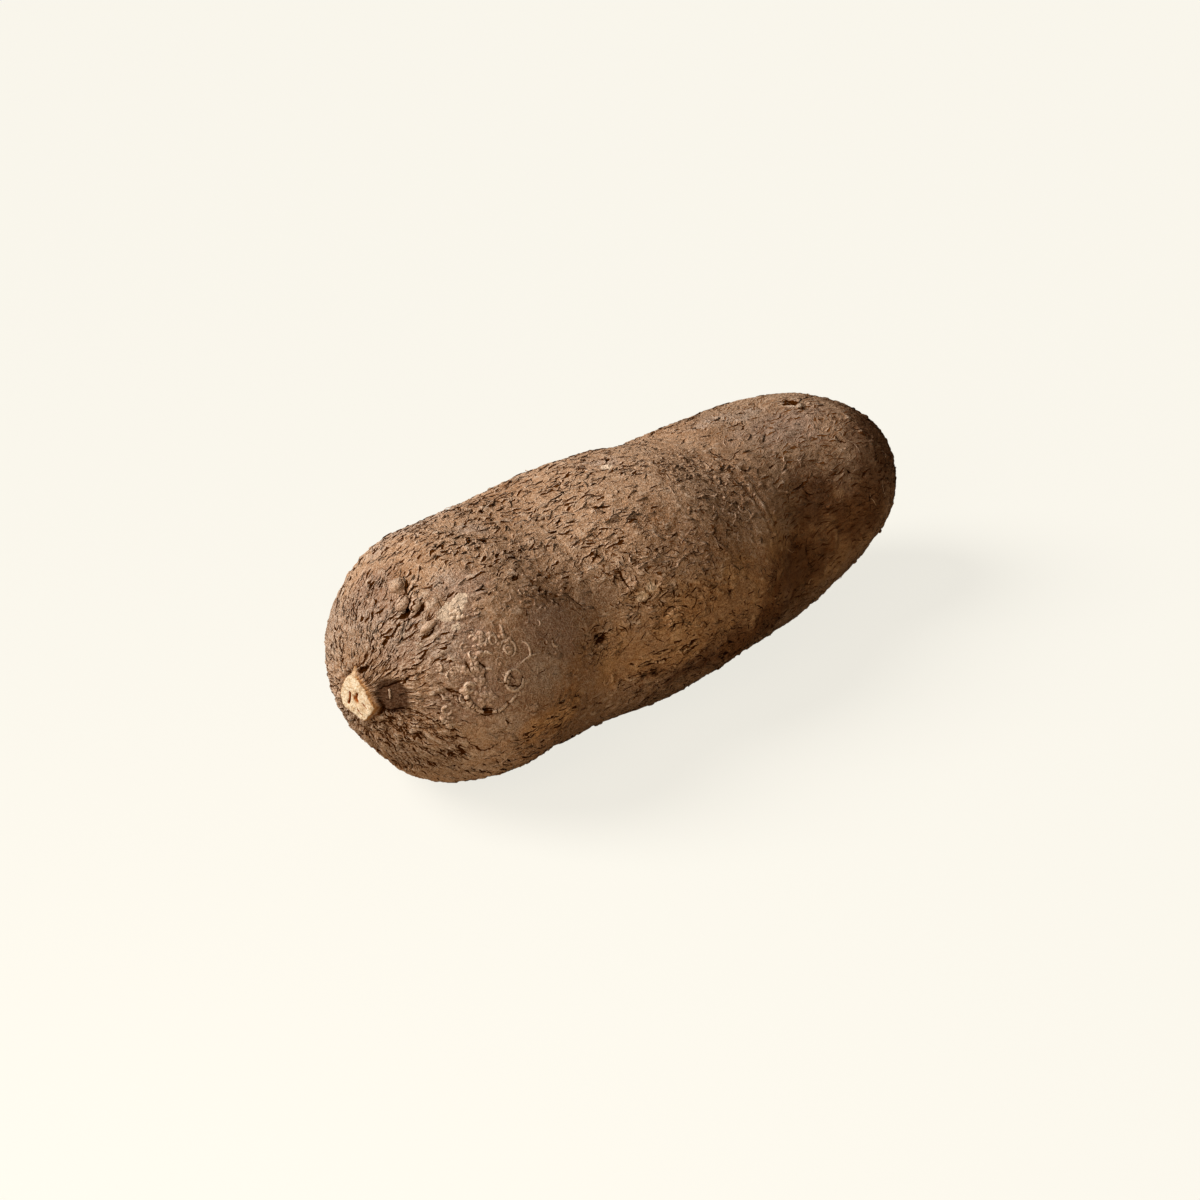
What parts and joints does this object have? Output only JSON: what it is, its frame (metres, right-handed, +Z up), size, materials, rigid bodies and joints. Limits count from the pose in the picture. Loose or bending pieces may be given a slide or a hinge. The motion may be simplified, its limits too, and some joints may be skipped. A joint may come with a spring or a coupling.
{
  "type": "yam",
  "caption": "Whole yam tuber lying on its side: a long blunt root with corky brown skin, a snapped stalk stub at one end and a slight waist near the other.",
  "frame": {"origin": "under the middle of the tuber's bounding box, on the surface that it lies on", "axes": "+X along the tuber from the stalk end to the growing end, +Y across it, +Z up"},
  "size_m": [0.304, 0.1068, 0.099],
  "materials": {
    "skin": "dry, rough, corky bark-like skin, split into short dark cracks along the tuber and thin flakes, with paler scuffs"
  },
  "bodies": {
    "root": {"yam": "skin"}
  },
  "joints": []
}
